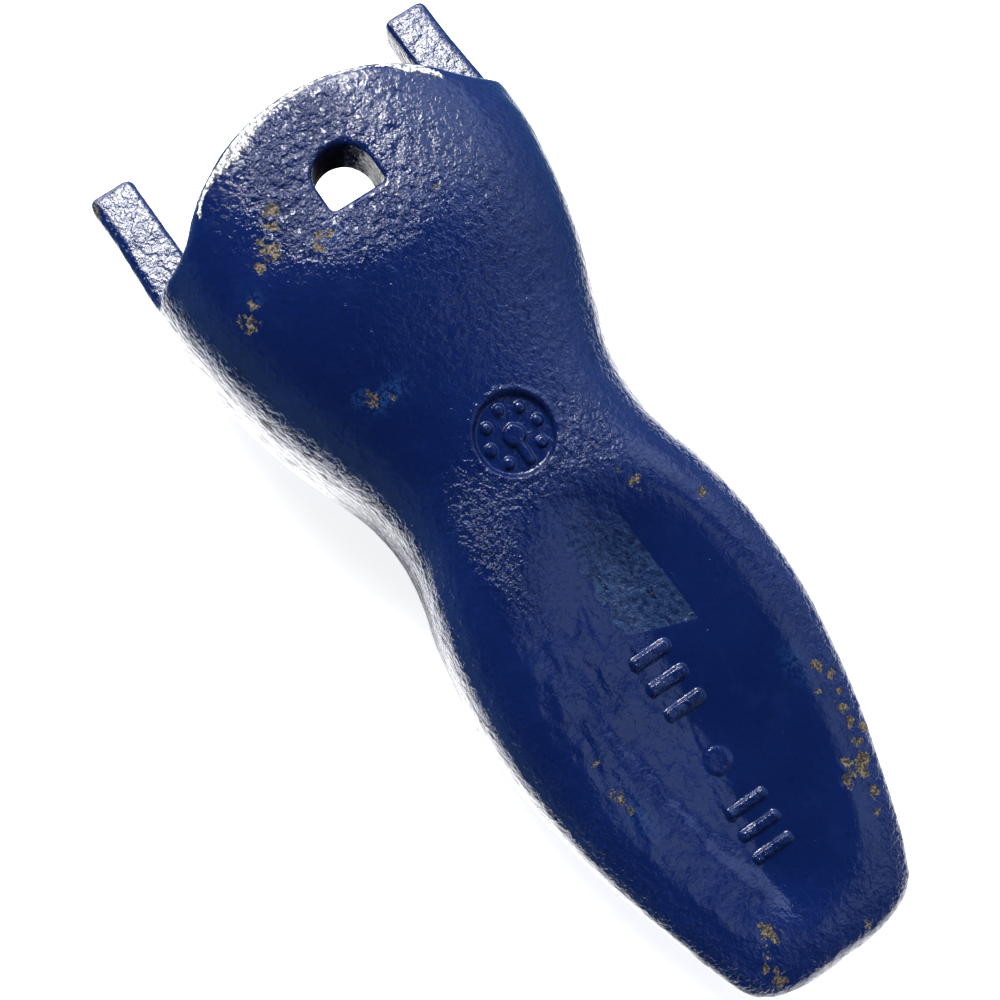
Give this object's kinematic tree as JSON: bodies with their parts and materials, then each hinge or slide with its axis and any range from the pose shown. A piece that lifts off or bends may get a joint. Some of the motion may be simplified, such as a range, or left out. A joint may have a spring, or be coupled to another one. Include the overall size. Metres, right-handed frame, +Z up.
{
  "type": "excavator bucket tooth",
  "caption": "Cast-steel excavator bucket tooth with a spade blade, rear socket, top and bottom ears, side tabs and a D-shaped pin hole, with its stowed rubber-sprung lock pin.",
  "frame": {"origin": "on the pin hole's axis, level with the flat underside that the tooth rests on", "axes": "+X along the tooth towards the digging edge, +Z up through the top face along the pin hole, +Y to the left side seen from behind"},
  "size_m": [0.269, 0.1066, 0.0761],
  "materials": {
    "painted_casting": "glossy deep-blue paint over a rough sand-cast steel skin, chipped and worn at the edges",
    "forged_pin": "dark heat-treated forged steel with a light oil film",
    "pin_elastomer": "matt black bonded elastomer",
    "ground_steel": "turned steel button, fine machining rings"
  },
  "bodies": {
    "tooth": {"tooth_casting": "painted_casting"},
    "lock_pin": {"pin_body": "forged_pin", "pin_rubber": "pin_elastomer"},
    "lock_button": {"pin_detent": "ground_steel"}
  },
  "joints": [
    {"name": "pin_draw", "type": "slide", "parent": "tooth", "child": "lock_pin", "axis": [-1, 0, 0], "range_m": [0, 0.125]},
    {"name": "button_press", "type": "slide", "parent": "lock_pin", "child": "lock_button", "axis": [0, 0, -1], "range_m": [0, 0.0018], "stiffness_N_per_m": 20000, "deforming": ["pin_rubber"]}
  ]
}
